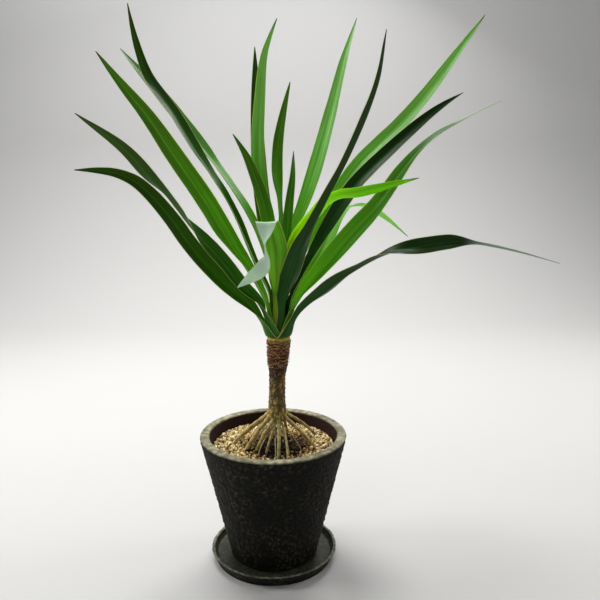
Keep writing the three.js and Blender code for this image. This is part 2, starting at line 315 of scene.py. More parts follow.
def makeClay(name, dark, warm, pebbleHighlight, rim, inside, gloss):
    material, tree, shader, _ = newMaterial(name, **{"Specular IOR Level": 0.14})
    pits = useGroup(tree, stoneGrain, Size=900.0)
    crust = useGroup(tree, stoneGrain, Size=260.0)
    body = blend(tree, ramp(tree, pits["Mottle"], [(0.4, 0.0), (0.66, 1.0)]), paint(dark), paint(warm))
    here = ramp(tree, crust["Mottle"], [(0.42, 0.05), (0.62, 0.62)])
    # painted highlight: the raised pebble tops take a paler olive where side light would catch them
    litPebbleTops = maths(tree, "MULTIPLY", attribute(tree, "raised"), here)
    body = blend(tree, litPebbleTops, body, paint(pebbleHighlight))
    patchy = ramp(tree, crust["Mottle"], [(0.35, 0.55), (0.6, 1.0)])
    wornRim = maths(tree, "MULTIPLY", attribute(tree, "worn"), patchy)
    rimMix = ramp(tree, crust["Height"], [(0.0, 0.0), (0.62, 1.0)])
    rimColour = blend(tree, rimMix, paint(rim[0]), paint(rim[1]))
    rimPits = maths(tree, "MULTIPLY", pits["Specks"], 0.6)
    rimColour = blend(tree, rimPits, rimColour, paint(clay["rimPits"]))
    body = blend(tree, wornRim, body, rimColour)
    lining = blend(tree, pits["Mottle"], paint(inside[0]), paint(inside[1]))
    body = blend(tree, attribute(tree, "lining"), body, lining)
    tree.links.new(body, shader.inputs["Base Color"])
    dull = ramp(tree, pits["Mottle"], [(0.3, gloss), (0.7, gloss + 0.22)])
    tree.links.new(dull, shader.inputs["Roughness"])
    bump(tree, shader, pits["Height"], 0.7, 0.35)
    return material


def roughenClay(bm, zoneAt, seed):
    # pebbles the surface inwards, so that the size stays, and marks the worn and inner zones
    raised = bm.verts.layers.float.new("raised")
    worn = bm.verts.layers.float.new("worn")
    lining = bm.verts.layers.float.new("lining")
    bm.normal_update()
    for v in bm.verts:
        x, y, z = v.co / mm
        rough, v[worn], v[lining] = zoneAt(hypot(x, y), z)
        apart = noise.voronoi(v.co / (clay["pebbleSize"] * mm))[0][0]
        pebbles = 0.75 - 1.7 * apart + 0.8 * lumps(x, y, z, clay["pebbleSize"] * 0.8, seed)
        slow = lumps(x, y, z, 34, seed + 7)
        v[raised] = ease(pebbles, -0.2, 0.7)
        hollow = 0.5 - 0.5 * min(max(pebbles, -1), 1)
        depth = rough * clay["pebble"] * hollow + clay["sag"] * (0.5 + 0.5 * slow)
        v.co -= v.normal * depth * mm
    bm.normal_update()


def makePot():
    rim, top, edge = potRim.x, potRim.z, clay["rimEdge"]
    foot, bottom = clay["footRadius"], clay["footHeight"]
    mouth = rim - clay["rimWidth"]
    gap = clay["spacing"]
    side = [(foot, bottom + edge), (rim, top - edge)]
    profile = line((clay["drainRadius"], bottom), (foot - edge, bottom), 3)
    profile += arc(foot - edge, bottom + edge, edge, -90, -5)
    profile += line(*side, gap)
    profile += arc(rim - edge, top - edge, edge, 0, 90)
    profile += line((rim - edge - 0.4, top), (mouth + edge, top), 0.8)
    profile += arc(mouth + edge, top - edge, edge, 90, 180)
    lining = (mouth - clay["liningTaper"], clay["liningBottom"])
    profile += line((mouth - 0.2, top - edge - 1), lining, gap)
    profile += line(lining, (clay["floorRadius"] + 4, clay["floorTop"] + 4), 6)
    profile += line((clay["floorRadius"], clay["floorTop"]), (clay["drainRadius"], clay["floorTop"]), 6)
    profile += line((clay["drainRadius"], clay["floorTop"]), (clay["drainRadius"], bottom), 3)
    bm = turnedShell(profile, clay["potSteps"])

    def zoneAt(r, z):
        outer = mix(foot, rim, (z - bottom - edge) / (top - bottom - 2 * edge))
        inner = (1 - ease(r, outer - 8, outer - 5)) * ease(z, 12, 16) * (1 - ease(z, top - 3, top - 1))
        flatTop = ease(z, top - 2.4, top - 0.7)
        rough = mix(mix(1.0, 0.4, flatTop), 0.15, inner) * ease(z, bottom, bottom + 3)
        return rough, flatTop, inner

    roughenClay(bm, zoneAt, 4.2)
    # painted shade: the inner wall's near-black and dark maroon stand for terracotta in shadow
    finish = makeClay("potClay", "#070806", "#12110a", "#4b462f", ("#706d58", "#b5ae92"),
                      ("#070504", "#2e100b"), 0.6)
    return newPiece("clayPot", bm, finish, ["pot"])


def makeSaucer():
    rim, top, edge = saucerRim.x, saucerRim.z, clay["saucerEdge"]
    base, floor = clay["saucerBase"], clay["saucerFloor"]
    inner = rim - clay["saucerWall"]
    profile = line((4, 0), (base - edge, 0), 3)
    profile += arc(base - edge, edge, edge, -90, -10, 5)
    profile += line((base, edge), (rim, top - edge), 0.9)
    profile += arc(rim - edge, top - edge, edge, 0, 90, 6)
    profile += arc(inner + edge, top - edge, edge, 90, 180, 6)
    profile += line((inner, top - edge - 1), (inner - 1.5, floor + 1.5), 0.9)
    profile += arc(inner - 3, floor + 1.6, 1.6, 0, -90, 4)
    profile += line((inner - 4, floor), (4, floor), 1.6)
    bm = turnedShell(profile, clay["saucerSteps"], closed=False)
    bmesh.ops.holes_fill(bm, edges=[e for e in bm.edges if e.is_boundary], sides=0)
    bmesh.ops.recalc_face_normals(bm, faces=bm.faces)

    def zoneAt(r, z):
        lip = ease(z, top - 1.6, top - 0.4)
        inside = (1 - ease(r, inner - 1, inner + 1)) * (1 if z > 3 else 0)
        under = 0.0 if z < 0.5 else 1.0
        return mix(0.75, 0.3, inside) * under, lip * 0.75 + inside * 0.22, 0.35 * inside * (1 - lip)

    roughenClay(bm, zoneAt, 9.1)
    for v in bm.verts:
        v.co.z = max(v.co.z, 0)
    finish = makeClay("saucerClay", "#0b0d08", "#16160e", "#4c4c38", ("#55564a", "#9a9984"),
                      ("#161b15", "#2f3527"), 0.38)
    return newPiece("claySaucer", bm, finish, ["saucer"])


makePot()
makeSaucer()
print("pot and saucer made")


# soil under the grit, a dark bed painted as the shadow between the grains, and loose grit on top

grit = {
    "radius": 61.2,
    "edgeHeight": 120.5,
    "mound": 2.0,
    "bedDrop": 1.6,
    "bottom": 108.6,
    "grains": 5600,
    "batch": 100,
    "small": 0.75,  # radius of the smallest and the largest grain
    "large": 1.65,
    "jitter": 0.2,  # how far a grain's corners wander, as a share of its size
    "wallRow": 0.1,  # share of the grains in the row against the pot's wall
    "bare": 0.93,  # share of the grains missing among the front roots, where the dark bed shows as painted shadow
    "layers": (-1.5, 1.2),
    "seed": 11,
}


def gritHeight(r, x, y):
    share = min(r / grit["radius"], 1)
    return grit["edgeHeight"] + grit["mound"] * (1 - share ** 2) + 0.9 * lumps(x, y, 0, 14, 1.5)


def makeSoilAndShadowFinish():
    material, tree, shader, _ = newMaterial("darkSoilAndShadow", **{"Roughness": 0.95, "Specular IOR Level": 0.08})
    crumb = useGroup(tree, stoneGrain, Size=520.0)
    colour = ramp(tree, crumb["Height"], [(0.1, paint("#0a0705")), (0.5, paint("#1f150f")),
                                          (0.8, paint("#43301f"))])
    tree.links.new(colour, shader.inputs["Base Color"])
    bump(tree, shader, crumb["Height"], 1.0, 0.9)
    return material


def makeGritFinish():
    material, tree, shader, _ = newMaterial("looseGrit", **{"Specular IOR Level": 0.3})
    speckle = useGroup(tree, stoneGrain, Size=1500.0)
    toneAndShade = attribute(tree, "toneAndShade")
    colour = ramp(tree, toneAndShade, [(0.0, paint("#150c07")), (0.22, paint("#5c3526")), (0.45, paint("#a3834b")),
                               (0.7, paint("#dccb8c")), (1.0, paint("#f6efcf"))])
    colour = blend(tree, maths(tree, "MULTIPLY", speckle["Specks"], 0.35), colour, paint("#5f4a2c"))
    colour = blend(tree, maths(tree, "MULTIPLY", speckle["Mottle"], 0.2), colour, paint("#b89c5c"))
    tree.links.new(colour, shader.inputs["Base Color"])
    tree.links.new(ramp(tree, speckle["Mottle"], [(0.3, 0.6), (0.7, 0.9)]), shader.inputs["Roughness"])
    bump(tree, shader, speckle["Height"], 0.6, 0.15)
    return material


# painted shadow: the near-black bed stands for the shade between and beneath the grains
def makeBed(finish):
    outer = grit["radius"]
    profile = [(0.0, grit["bottom"])]
    profile += line((6, grit["bottom"]), (outer - 4, grit["bottom"]), 9)
    profile += line((outer - 3.5, grit["bottom"]), (outer, grit["edgeHeight"] - grit["bedDrop"]), 3)
    profile += line((outer, grit["edgeHeight"] - grit["bedDrop"]), (0, grit["edgeHeight"]), 1.4)
    profile += [(0.0, grit["edgeHeight"])]
    bm = turnedShell(profile, 200, closed=False)
    for v in bm.verts:
        x, y, z = v.co / mm
        if z > grit["bottom"] + 4:
            r = hypot(x, y)
            bumpy = 0.7 * lumps(x, y, 0, 2.2, 6) * (1 - ease(r, outer - 1, outer))
            v.co.z = (gritHeight(r, x, y) - grit["bedDrop"] + bumpy) * mm
    return newPiece("gritShadowBed", bm, finish, ["top_dressing"])


def gritToneAndShade(dice, x, y):
    # paler at both sides, darker and redder in front of the stem and among the roots: the redder tone is the
    # grit's own, the darkening is painted shade
    front = exp(-(((x - 8) / 30) ** 2)) * ease(-y, -18, 8)
    near = 1 - ease(hypot(x - 5, y), 20, 46)  # painted shade, darker close to the stem
    tone = dice.uniform(mix(0.3, 0.03, front), mix(1.05, 0.7, front)) * mix(1, 0.45, near)
    return min(max(tone - 0.22 * (dice.random() < 0.25), 0), 1)


def makeGrains(finish):
    dice = random.Random(grit["seed"])
    heap = bmesh.new()
    heap.verts.layers.float.new("toneAndShade")
    heapMesh = bpy.data.meshes.new("grainBatch")
    for start in range(0, grit["grains"], grit["batch"]):
        bm = bmesh.new()
        toneAndShade = bm.verts.layers.float.new("toneAndShade")
        for i in range(start, min(start + grit["batch"], grit["grains"])):
            r = grit["radius"] * sqrt(dice.random())
            turn = dice.uniform(0, tau)
            if dice.random() < grit["wallRow"]:
                r = grit["radius"] - dice.uniform(0.8, 2.6)
            x, y = r * cos(turn), r * sin(turn)
            under = exp(-(((x - 2) / 32) ** 4)) * ease(-y, -22, -8) * (1 - ease(r, 32, 46))
            if dice.random() < grit["bare"] * under:
                continue  # the dark bed shows here as painted shadow among the roots
            layer = dice.uniform(*grit["layers"])
            size = dice.uniform(grit["small"], grit["large"]) * mix(0.85, 1.1, dice.random())
            r = min(r, grit["radius"] - size)
            x, y = r * cos(turn), r * sin(turn)
            place = Vector((x, y, gritHeight(r, x, y) + layer)) * mm
            spun = dice.uniform(0, tau)
            axis = Vector((dice.gauss(0, 1), dice.gauss(0, 1), 1))
            stretch = (dice.uniform(0.75, 1.3), dice.uniform(0.7, 1.1), dice.uniform(0.6, 1.0), 1)
            pose = Matrix.Translation(place) @ Matrix.Rotation(spun, 4, axis) @ Matrix.Diagonal(stretch)
            stone = bmesh.ops.create_icosphere(bm, subdivisions=1, radius=size * mm, matrix=pose)
            # grains lying lower get painted shade
            shade = gritToneAndShade(dice, x, y) * mix(0.8, 1.0, ease(layer, grit["layers"][0], 0.2))
            for v in stone["verts"]:
                wander = Vector((dice.uniform(-1, 1), dice.uniform(-1, 1), dice.uniform(-1, 1)))
                v.co += wander * grit["jitter"] * size * mm
                v[toneAndShade] = shade
        bm.to_mesh(heapMesh)
        bm.free()
        heap.from_mesh(heapMesh)
    bpy.data.meshes.remove(heapMesh)
    return newPiece("looseGrit", heap, finish, soft=False)


soilAndShadowFinish = makeSoilAndShadowFinish()
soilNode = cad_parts["potting_soil"]
soilNode.data.materials.clear()
soilNode.data.materials.append(soilAndShadowFinish)
makeBed(soilAndShadowFinish)
makeGrains(makeGritFinish())
print("soil and grit laid")


# stem: corky and mottled below, stacked leaf scars above, a green-yellow band under the crown

stem = {
    "leanLow": 3.7,
    "leanHigh": 5.9,
    "collar": 146,
    "crown": 230,
    "columns": 120,
    "rows": 230,
    "scarStart": 202,
    "scarStop": 232,
    "scarPitch": 3.1,
    "scarDepth": 1.25,
    "seed": 21,
    # radius and height up the stem
    "outline": [(2, 144.6), (7.2, 146.4), (9.3, 149.5), (9.6, 153), (9.0, 159), (8.4, 167), (8.05, 178),
                (8.0, 190), (8.4, 198), (9.4, 204), (10.2, 210), (10.7, 218), (11.2, 225), (11.7, 232.5),
                (10.7, 234.3), (8.2, 236), (5, 243), (1.5, 255)],
    "skirtColumns": 110,
    "skirtRows": 4,
    "skirtThick": 0.28,
    "fibres": 16,
    "frontFibres": 12,  # the rest are on the right and at the back
    "fibreThick": (0.26, 0.09),
}


def stemRadius(z):
    outline = stem["outline"]
    for (r0, z0), (r1, z1) in zip(outline, outline[1:]):
        if z <= z1:
            return mix(r0, r1, ease(z, z0, z1) if z1 - z0 > 6 else min(max((z - z0) / (z1 - z0), 0), 1))
    return outline[-1][0]


def stemAxis(z):
    share = min(max((z - stem["collar"]) / (stem["crown"] - stem["collar"]), 0), 1)
    return mix(stem["leanLow"], stem["leanHigh"], share ** 2)


def scarPhase(turn, z):
    # where a height lies between one leaf scar and the next, which wander a little round the stem
    wander = 0.9 * lumps(cos(turn), sin(turn), z / 9, 0.9, 2) + 0.35 * sin(turn + z / 5)
    return (z + wander - stem["scarStart"]) / stem["scarPitch"]


def makeBark():
    material, tree, shader, _ = newMaterial("mottledBark", **{"Specular IOR Level": 0.3})
    place = add(tree, "SeparateXYZ", {0: add(tree, "TexCoord").outputs["Object"]})
    fleck = useGroup(tree, stoneGrain, Size=1100.0, Stretch=0.45)
    blotch = useGroup(tree, stoneGrain, Size=420.0, Stretch=0.5)
    height = remap(tree, place.outputs[2], 0.145, 0.239)
    height = maths(tree, "ADD", height, maths(tree, "MULTIPLY_ADD", blotch["Mottle"], 0.12, -0.06))
    body = ramp(tree, height, [(0.0, paint("#a5823f")), (0.1, paint("#a8923f")), (0.27, paint("#957f45")),
                               (0.45, paint("#8a7038")), (0.55, paint("#46301f")), (0.65, paint("#643420")),
                               (0.82, paint("#8a4a2c")), (0.91, paint("#8a6a38")), (0.945, paint("#b8a43c")),
                               (1.0, paint("#bdb440"))])
    right = remap(tree, place.outputs[0], 0.004, 0.01)
    halfway = ramp(tree, height, [(0.25, 0.0), (0.36, 1.0), (0.5, 1.0), (0.58, 0.0)])
    streak = maths(tree, "MULTIPLY", right, halfway)
    body = blend(tree, maths(tree, "MULTIPLY", streak, 0.7), body, paint("#ad7626"))
    cracks = ramp(tree, blotch["Height"], [(0.12, 1.0), (0.34, 0.0)])
    low = ramp(tree, height, [(0.5, 1.0), (0.62, 0.3)])
    pale = maths(tree, "MULTIPLY", ramp(tree, fleck["Height"], [(0.26, 0.0), (0.4, 1.0)]), low)
    left = remap(tree, place.outputs[0], -0.002, 0.006, 0.95, 0.5)
    body = blend(tree, maths(tree, "MULTIPLY", pale, left), body, paint("#e4d6a2"))
    below = ramp(tree, height, [(0.88, 0.75), (0.94, 0.25)])
    body = blend(tree, maths(tree, "MULTIPLY", cracks, below), body, paint("#1d120b"))
    body = blend(tree, maths(tree, "MULTIPLY", attribute(tree, "papery"), 0.6), body, paint("#b4834f"))
    # painted shade: the hollow under each scar's lip is darkened to near-black
    body = blend(tree, maths(tree, "MULTIPLY", attribute(tree, "hollow"), 0.85), body, paint("#160a06"))
    tree.links.new(body, shader.inputs["Base Color"])
    tree.links.new(ramp(tree, fleck["Mottle"], [(0.3, 0.6), (0.7, 0.9)]), shader.inputs["Roughness"])
    bump(tree, shader, fleck["Height"], 0.8, 0.6)
    return material


def makeStem(finish):
    bm, spots = openTube(stem["columns"], stem["rows"], "hollow")
    hollow = bm.verts.layers.float["hollow"]
    low, high = stem["outline"][0][1], stem["outline"][-1][1]
    for v, turnShare, along in spots:
        turn = tau * turnShare
        z = mix(low, high, along)
        r = stemRadius(z)
        x, y = cos(turn), sin(turn)
        scarred = ease(z, stem["scarStart"] - 3, stem["scarStart"] + 2)
        scarred *= 1 - ease(z, stem["scarStop"] - 1, stem["scarStop"] + 1)
        phase = scarPhase(turn, z) % 1
        lip = phase ** 2.2 - 0.55
        torn = 0.7 + 0.5 * lumps(x * 6, y * 6, z / 2, 1.4, 8)
        barkLump = 0.6 * lumps(x * 8, y * 8, z / 2.2, 2.3, 3) + 0.42 * lumps(x * 8, y * 8, z, 1.5, 5)
        oldRings = 0.22 * sin(z * tau / 4.6 + 1.5 * lumps(x, y, z / 10, 1, 6)) * (1 - scarred)
        corky = (barkLump + oldRings) * ease(z, 146, 150) * (1 - ease(z, 230, 235))
        r += scarred * stem["scarDepth"] * lip * torn + corky
        # painted shade in the groove under each scar's lip
        v[hollow] = scarred * (1 - ease(phase, 0.0, 0.28))
        v.co = Vector((stemAxis(z) + r * x, r * y, z)) * mm
    closeTube(bm)
    return newPiece("barkStem", bm, finish, ["stem"])


def makeScarSkirts(finish):
    # papery rims of the fallen leaves' bases, standing off the stem with torn edges
    count = int((stem["scarStop"] - stem["scarStart"]) / stem["scarPitch"])
    skirts = bmesh.new()
    skirts.verts.layers.float.new("papery")
    ringMesh = bpy.data.meshes.new("skirt")
    for k in range(count):
        bm, spots = openTube(stem["skirtColumns"], stem["skirtRows"], "papery")
        papery = bm.verts.layers.float["papery"]
        base = stem["scarStart"] + stem["scarPitch"] * (k + 0.55)
        for v, turnShare, along in spots:
            turn = tau * turnShare
            x, y = cos(turn), sin(turn)
            ragged = lumps(x * 3, y * 3, k * 2.0, 0.9, 14) + 0.5 * lumps(x * 9, y * 9, k, 0.9, 3)
            torn = ease(ragged, -0.35, 0.35)
            rise = along * mix(0.5, 3.0, torn)
            wander = 0.9 * lumps(x, y, base / 9, 0.9, 2) + 0.35 * sin(turn + base / 5)
            z = base + rise - wander
            flutter = 0.25 * lumps(x * 5, y * 5, k, 0.8, 4) * along
            stand = mix(-0.25, 0.95, along) * mix(0.5, 1.0, torn) + flutter
            r = stemRadius(base) + stand
            v[papery] = ease(along, 0.3, 1.0)
            v.co = Vector((stemAxis(z) + r * x, r * y, z)) * mm
        bmesh.ops.remove_doubles(bm, verts=bm.verts, dist=1e-6)
        bmesh.ops.recalc_face_normals(bm, faces=bm.faces)
        bmesh.ops.solidify(bm, geom=bm.faces[:], thickness=stem["skirtThick"] * mm)
        bm.to_mesh(ringMesh)
        bm.free()
        skirts.from_mesh(ringMesh)
    bpy.data.meshes.remove(ringMesh)
    return newPiece("leafScars", skirts, finish)


def makeFibres():
    # a few cream threads of dried leaf bases, caught between the scars
    dice = random.Random(stem["seed"])
    material, tree, shader, _ = newMaterial("driedFibre", Roughness=0.7)
    tone = useGroup(tree, stoneGrain, Size=700.0)
    dried = blend(tree, tone["Mottle"], paint("#d9c79a"), paint("#8d6a45"))
    tree.links.new(dried, shader.inputs["Base Color"])
    bump(tree, shader, tone["Height"], 0.4, 0.1)
    bundle = bmesh.new()
    threadMesh = bpy.data.meshes.new("thread")
    for i in range(stem["fibres"]):
        bm, spots = openTube(6, 10)
        start = dice.uniform(180, 330) if i < stem["frontFibres"] else dice.uniform(-20, 150)
        z0 = dice.uniform(206, 231)
        length, rise = dice.uniform(4, 9), dice.uniform(-5, 4)
        for v, turnShare, along in spots:
            turn = radians(start) + along * length / 11
            z = z0 + rise * along + 0.8 * sin(along * 5 + i)
            r = stemRadius(z) + 0.9 + 1.0 * sin(pi * along) + 0.4 * along
            thick = mix(*stem["fibreThick"], along)
            around = tau * turnShare
            r += thick * cos(around)
            v.co = Vector((stemAxis(z) + r * cos(turn), r * sin(turn), z + thick * sin(around))) * mm
        closeTube(bm)
        bm.to_mesh(threadMesh)
        bm.free()
        bundle.from_mesh(threadMesh)
    bpy.data.meshes.remove(threadMesh)
    return newPiece("driedFibres", bundle, material)


barkFinish = makeBark()
makeStem(barkFinish)
makeScarSkirts(barkFinish)
makeFibres()
print("stem made")


# stilt roots, from the stem's collar down into the grit

roots = {
    "columns": 20,
    "rows": 90,
    "surface": 121.5,
    "bottom": 108,
    "bow": 2.0,
    "wrinkle": 0.05,
    # start and end azimuth, reach at the grit, height at the stem, width, greenness
    "table": [
        (184, 181, 45, 155, 3.9, 0.0), (212, 202, 33, 153, 4.2, 0.1), (164, 165, 41, 150, 2.6, 0.0),
        (238, 216, 25, 150, 3.5, 0.3), (257, 243, 23, 147, 2.6, 0.5), (279, 272, 35, 149, 3.5, 0.9),
        (301, 286, 37, 147, 2.3, 0.5), (345, 351, 36, 151, 3.9, 0.1), (376, 388, 46, 155, 3.2, 0.0),
        (58, 66, 28, 150, 2.8, 0.1), (98, 104, 38, 153, 3.4, 0.0), (132, 137, 34, 151, 3.4, 0.0),
    ],
    # thin side rootlets: azimuth, reach, height, width
    "rootlets": [(262, 30, 140, 1.1), (292, 27, 143, 1.2), (228, 30, 141, 1.1), (318, 30, 145, 1.3),
                 (196, 27, 144, 1.0)],
    "rootletColumns": 10,
    "rootletRows": 40,
    "fullness": 1.12,
    "taper": 0.25,
    "flare": 0.55,  # swelling where a root leaves the stem
    "knobs": 0.1,
    "sway": 0.55,
}


def fromStem(azimuth, reach, z):
    turn = radians(azimuth)
    return Vector((stem["leanLow"] + reach * cos(turn), reach * sin(turn), z))


def rootPath(start, end, reach, height):
    middle = (start + 2 * end) / 3
    surface = roots["surface"]
    return [fromStem(start, 5, height + 1), fromStem(start, 10.5, height - 2.5),
            fromStem(middle, (10.5 + reach) / 2, (height - 2.5 + surface) / 2 + roots["bow"]),
            fromStem(end, reach, surface), fromStem(end, reach + 3, roots["bottom"])]


def makeRootBark():
    material, tree, shader, _ = newMaterial("rootBark", **{"Specular IOR Level": 0.35})
    fleck = useGroup(tree, stoneGrain, Size=1300.0)
    soft = useGroup(tree, stoneGrain, Size=300.0)
    body = ramp(tree, soft["Mottle"], [(0.3, paint("#75602f")), (0.5, paint("#ab9358")),
                                       (0.7, paint("#d4be86"))])
    body = blend(tree, maths(tree, "MULTIPLY", attribute(tree, "green"), 0.75), body, paint("#6f7b3c"))
    # painted shade in the ring grooves
    body = blend(tree, maths(tree, "MULTIPLY", attribute(tree, "hollow"), 0.5), body, paint("#2e1d10"))
    body = blend(tree, maths(tree, "MULTIPLY", fleck["Specks"], 0.35), body, paint("#e0c79a"))
    tree.links.new(body, shader.inputs["Base Color"])
    tree.links.new(ramp(tree, fleck["Mottle"], [(0.3, 0.5), (0.7, 0.78)]), shader.inputs["Roughness"])
    bump(tree, shader, fleck["Height"], 0.5, 0.25)
    return material


def rootTube(path, width, green, seed, columns, rows):
    bm, spots = openTube(columns, rows, "hollow", "green")
    hollow, greenness = bm.verts.layers.float["hollow"], bm.verts.layers.float["green"]
    centres, frames = [], []
    for i in range(rows + 1):
        t = i / rows
        centre = curveAt(path, t)
        sway = Vector([lumps(t * 5, seed, 4 * k, 1, k + 1) for k in range(3)])
        centre += sway * roots["sway"] * ease(t, 0, 0.25)
        ahead = (curveAt(path, min(t + 0.01, 1)) - curveAt(path, max(t - 0.01, 0))).normalized()
        across = ahead.cross(Vector((0, 0, 1))).normalized()
        centres.append(centre)
        frames.append((across, across.cross(ahead)))
    for v, turnShare, along in spots:
        turn = tau * turnShare
        i = round(along * rows)
        across, raised = frames[i]
        flare = 1 + roots["flare"] * (1 - ease(along, 0.05, 0.3))
        ring = sin(along * 62 + seed + 1.4 * lumps(cos(turn), sin(turn), along * 9, 1.2, seed))
        knobs = roots["knobs"] * lumps(cos(turn) * 2, sin(turn) * 2, along * 14, 1.3, seed + 4)
        half = width / 2 * (roots["fullness"] - roots["taper"] * along) * flare
        half *= 1 + roots["wrinkle"] * ring + knobs
        # painted shade where the rings sink into grooves
        v[hollow] = ease(-ring, 0.35, 1.0) * 0.8
        v[greenness] = green
        v.co = (centres[i] + across * half * cos(turn) + raised * half * sin(turn)) * mm
    closeTube(bm)
    return bm


def makeRoots(finish):
    for i, (start, end, reach, height, width, green) in enumerate(roots["table"]):
        path = rootPath(start, end, reach, height)
        bm = rootTube(path, width, green, i * 1.7, roots["columns"], roots["rows"])
        newPiece(f"stiltRoot{i + 1:02d}", bm, finish, [f"root_{i + 1:02d}"])
    for i, (azimuth, reach, height, width) in enumerate(roots["rootlets"]):
        path = rootPath(azimuth, azimuth + 4, reach, height)
        bm = rootTube(path, width, 0.3, 30 + i, roots["rootletColumns"], roots["rootletRows"])
        newPiece(f"rootlet{i + 1}", bm, finish)


makeRoots(makeRootBark())
print("roots made")


# leaves: long blades with a shallow keel that clasp the stem at their bases

blade = {
    "columns": 36,
    "rows": 96,
    "thickBase": 1.0,
    "thickTip": 0.5,
    "midrib": 0.45,
    "keelRound": 0.12,
    "keelGain": 1.8,
    "sheathLength": 34,
    "sheathWrap": 84,  # degrees each side of the midrib
    "overlap": 0.55,  # one edge of a sheath lies outside its neighbour and the other inside
    "wave": 0.5,
    "crownX": 6.0,
    "heelAt": 234.8,  # every sheath starts down here, the younger ones inside the older
    "heelReach": 10.2,
    "heelStep": 0.16,
    "heelShare": 0.07,
    "leastReach": 2.0,
    "sheathThick": 0.42,
    "midribWidth": 0.13,
    "waveLength": 26,
}

# finish: colours from the base to the tip, how much light comes through, and the painted silver reflection
# and shine
leafFinishes = {
    "deep": {
        "base": "#205408", "low": "#2f7a0c", "body": "#22620e", "far": "#0f3c0a", "keel": "#4f9a1c",
        "through": 0.34, "paintedSheen": 0.03, "shine": 0.1,
    },
    # painted shade: a darker copy of the green for leaves turned away from the light
    "dark": {
        "base": "#163c06", "low": "#175008", "body": "#0c3c08", "far": "#08280a", "keel": "#2a6a14",
        "through": 0.2, "paintedSheen": 0.02, "shine": 0.06,
    },
    "mid": {
        "base": "#8cc81c", "low": "#6cbc18", "body": "#4aa016", "far": "#1d6212", "keel": "#8ccc40",
        "through": 0.55, "paintedSheen": 0.08, "shine": 0.16,
    },
    # painted light: a paler copy for lit leaves, with more painted silver reflection
    "pale": {
        "base": "#a0d820", "low": "#76c81c", "body": "#5cb02c", "far": "#7cb86c", "keel": "#9ad060",
        "through": 0.55, "paintedSheen": 0.16, "shine": 0.2,
    },
    # the young leaves' own lime, brightened as a painted glow of light through the blade
    "lime": {
        "base": "#ecf43c", "low": "#d8f224", "body": "#b8e81c", "far": "#5cac1c", "keel": "#a0d020",
        "through": 0.7, "paintedSheen": 0.02, "shine": 0.14,
    },
    # its dark keel is painted shade down the middle of the backlit blade
    "folded": {
        "base": "#c8dc24", "low": "#96d01c", "body": "#7cc41c", "far": "#4c9c1c", "keel": "#356e10",
        "through": 0.4, "paintedSheen": 0.02, "shine": 0.14,
    },
}

# the finish of each leaf, from the oldest to the youngest
leafTable = ["deep", "dark", "deep", "mid", "pale", "mid", "dark", "deep", "dark", "deep",
             "pale", "mid", "pale", "lime", "pale", "mid", "folded", "mid", "mid"]
browned = "#3a2413"
threads = {"from": {2: 0.76, 4: 0.9}, "width": 0.22, "bleachAndSheen": 0.55}  # where two leaves' tips thin
creased = {"leaf": 17, "keelGain": 0.5, "fold": 0.53, "waist": 0.675, "pinch": 0.14, "tip": 1.15}
bladeLayers = ("along", "across", "under", "leafSeed", "bleachAndSheen")


def makeLeafFinish(name, look):
    constants = {"Specular IOR Level": look["shine"]}
    material, tree, shader, out = newMaterial("leaf" + name.capitalize(), **constants)
    along, across = attribute(tree, "along"), attribute(tree, "across")
    lines = useGroup(tree, bladeLines, Across=across, Along=along, Seed=attribute(tree, "leafSeed"))
    place = maths(tree, "MULTIPLY_ADD", lines["Bands"], 0.14, maths(tree, "SUBTRACT", along, 0.07))
    body = ramp(tree, place, [(0.0, paint(look["base"])), (0.07, paint(look["low"])),
                              (0.3, paint(look["body"])), (0.72, paint(look["far"])),
                              (0.955, paint(look["far"])), (0.99, paint(browned))])
    shade = ramp(tree, lines["Bands"], [(0.3, 0.62), (0.5, 1.0), (0.72, 1.3)])
    body = blend(tree, 1.0, body, shade, "MULTIPLY")
    fine = ramp(tree, lines["Lines"], [(0.35, 0.8), (0.65, 1.2)])
    body = blend(tree, 1.0, body, fine, "MULTIPLY")
    # painted reflection: silvery streaks along the fine lines
    paintedSheen = ramp(tree, lines["Lines"], [(0.45, 0.0), (0.75, 1.0)])
    paintedSheen = maths(tree, "MULTIPLY", paintedSheen, look["paintedSheen"])
    body = blend(tree, paintedSheen, body, paint("#cfe3c8"))
    body = blend(tree, maths(tree, "MULTIPLY", attribute(tree, "under"), 0.05), body, paint("#a9c8a4"))
    # near white: painted reflection on the creased blade, and the threads' own bleaching
    body = blend(tree, maths(tree, "MULTIPLY", attribute(tree, "bleachAndSheen"), 0.92), body, paint("#dcefe6"))
    notPaled = maths(tree, "MULTIPLY_ADD", attribute(tree, "bleachAndSheen"), -0.4, 0.4)
    body = blend(tree, maths(tree, "MULTIPLY", lines["Keel"], notPaled), body, paint(look["keel"]))
    heel = ramp(tree, along, [(0.004, 1.0), (0.022, 0.0)])
    body = blend(tree, maths(tree, "MULTIPLY", heel, 0.8), body, paint("#b0a436"))
    notTip = ramp(tree, along, [(0.9, 1.0), (0.97, 0.0)])
    margin = maths(tree, "MULTIPLY", lines["Margin"], notTip)
    body = blend(tree, maths(tree, "MULTIPLY", margin, 0.8), body, paint("#d7e07a"))
    tree.links.new(body, shader.inputs["Base Color"])
    tree.links.new(ramp(tree, lines["Lines"], [(0.3, 0.3), (0.7, 0.46)]), shader.inputs["Roughness"])
    bump(tree, shader, lines["Lines"], 0.35, 0.12)
    # light through the blade is yellower and brighter than what it reflects
    glow = blend(tree, 0.3, body, paint("#d8f02a"))
    through = add(tree, "BsdfTranslucent", {"Color": glow})
    both = add(tree, "MixShader", {0: look["through"], 1: shader.outputs[0], 2: through.outputs[0]})
    tree.links.new(both.outputs[0], out.inputs["Surface"])
    return material


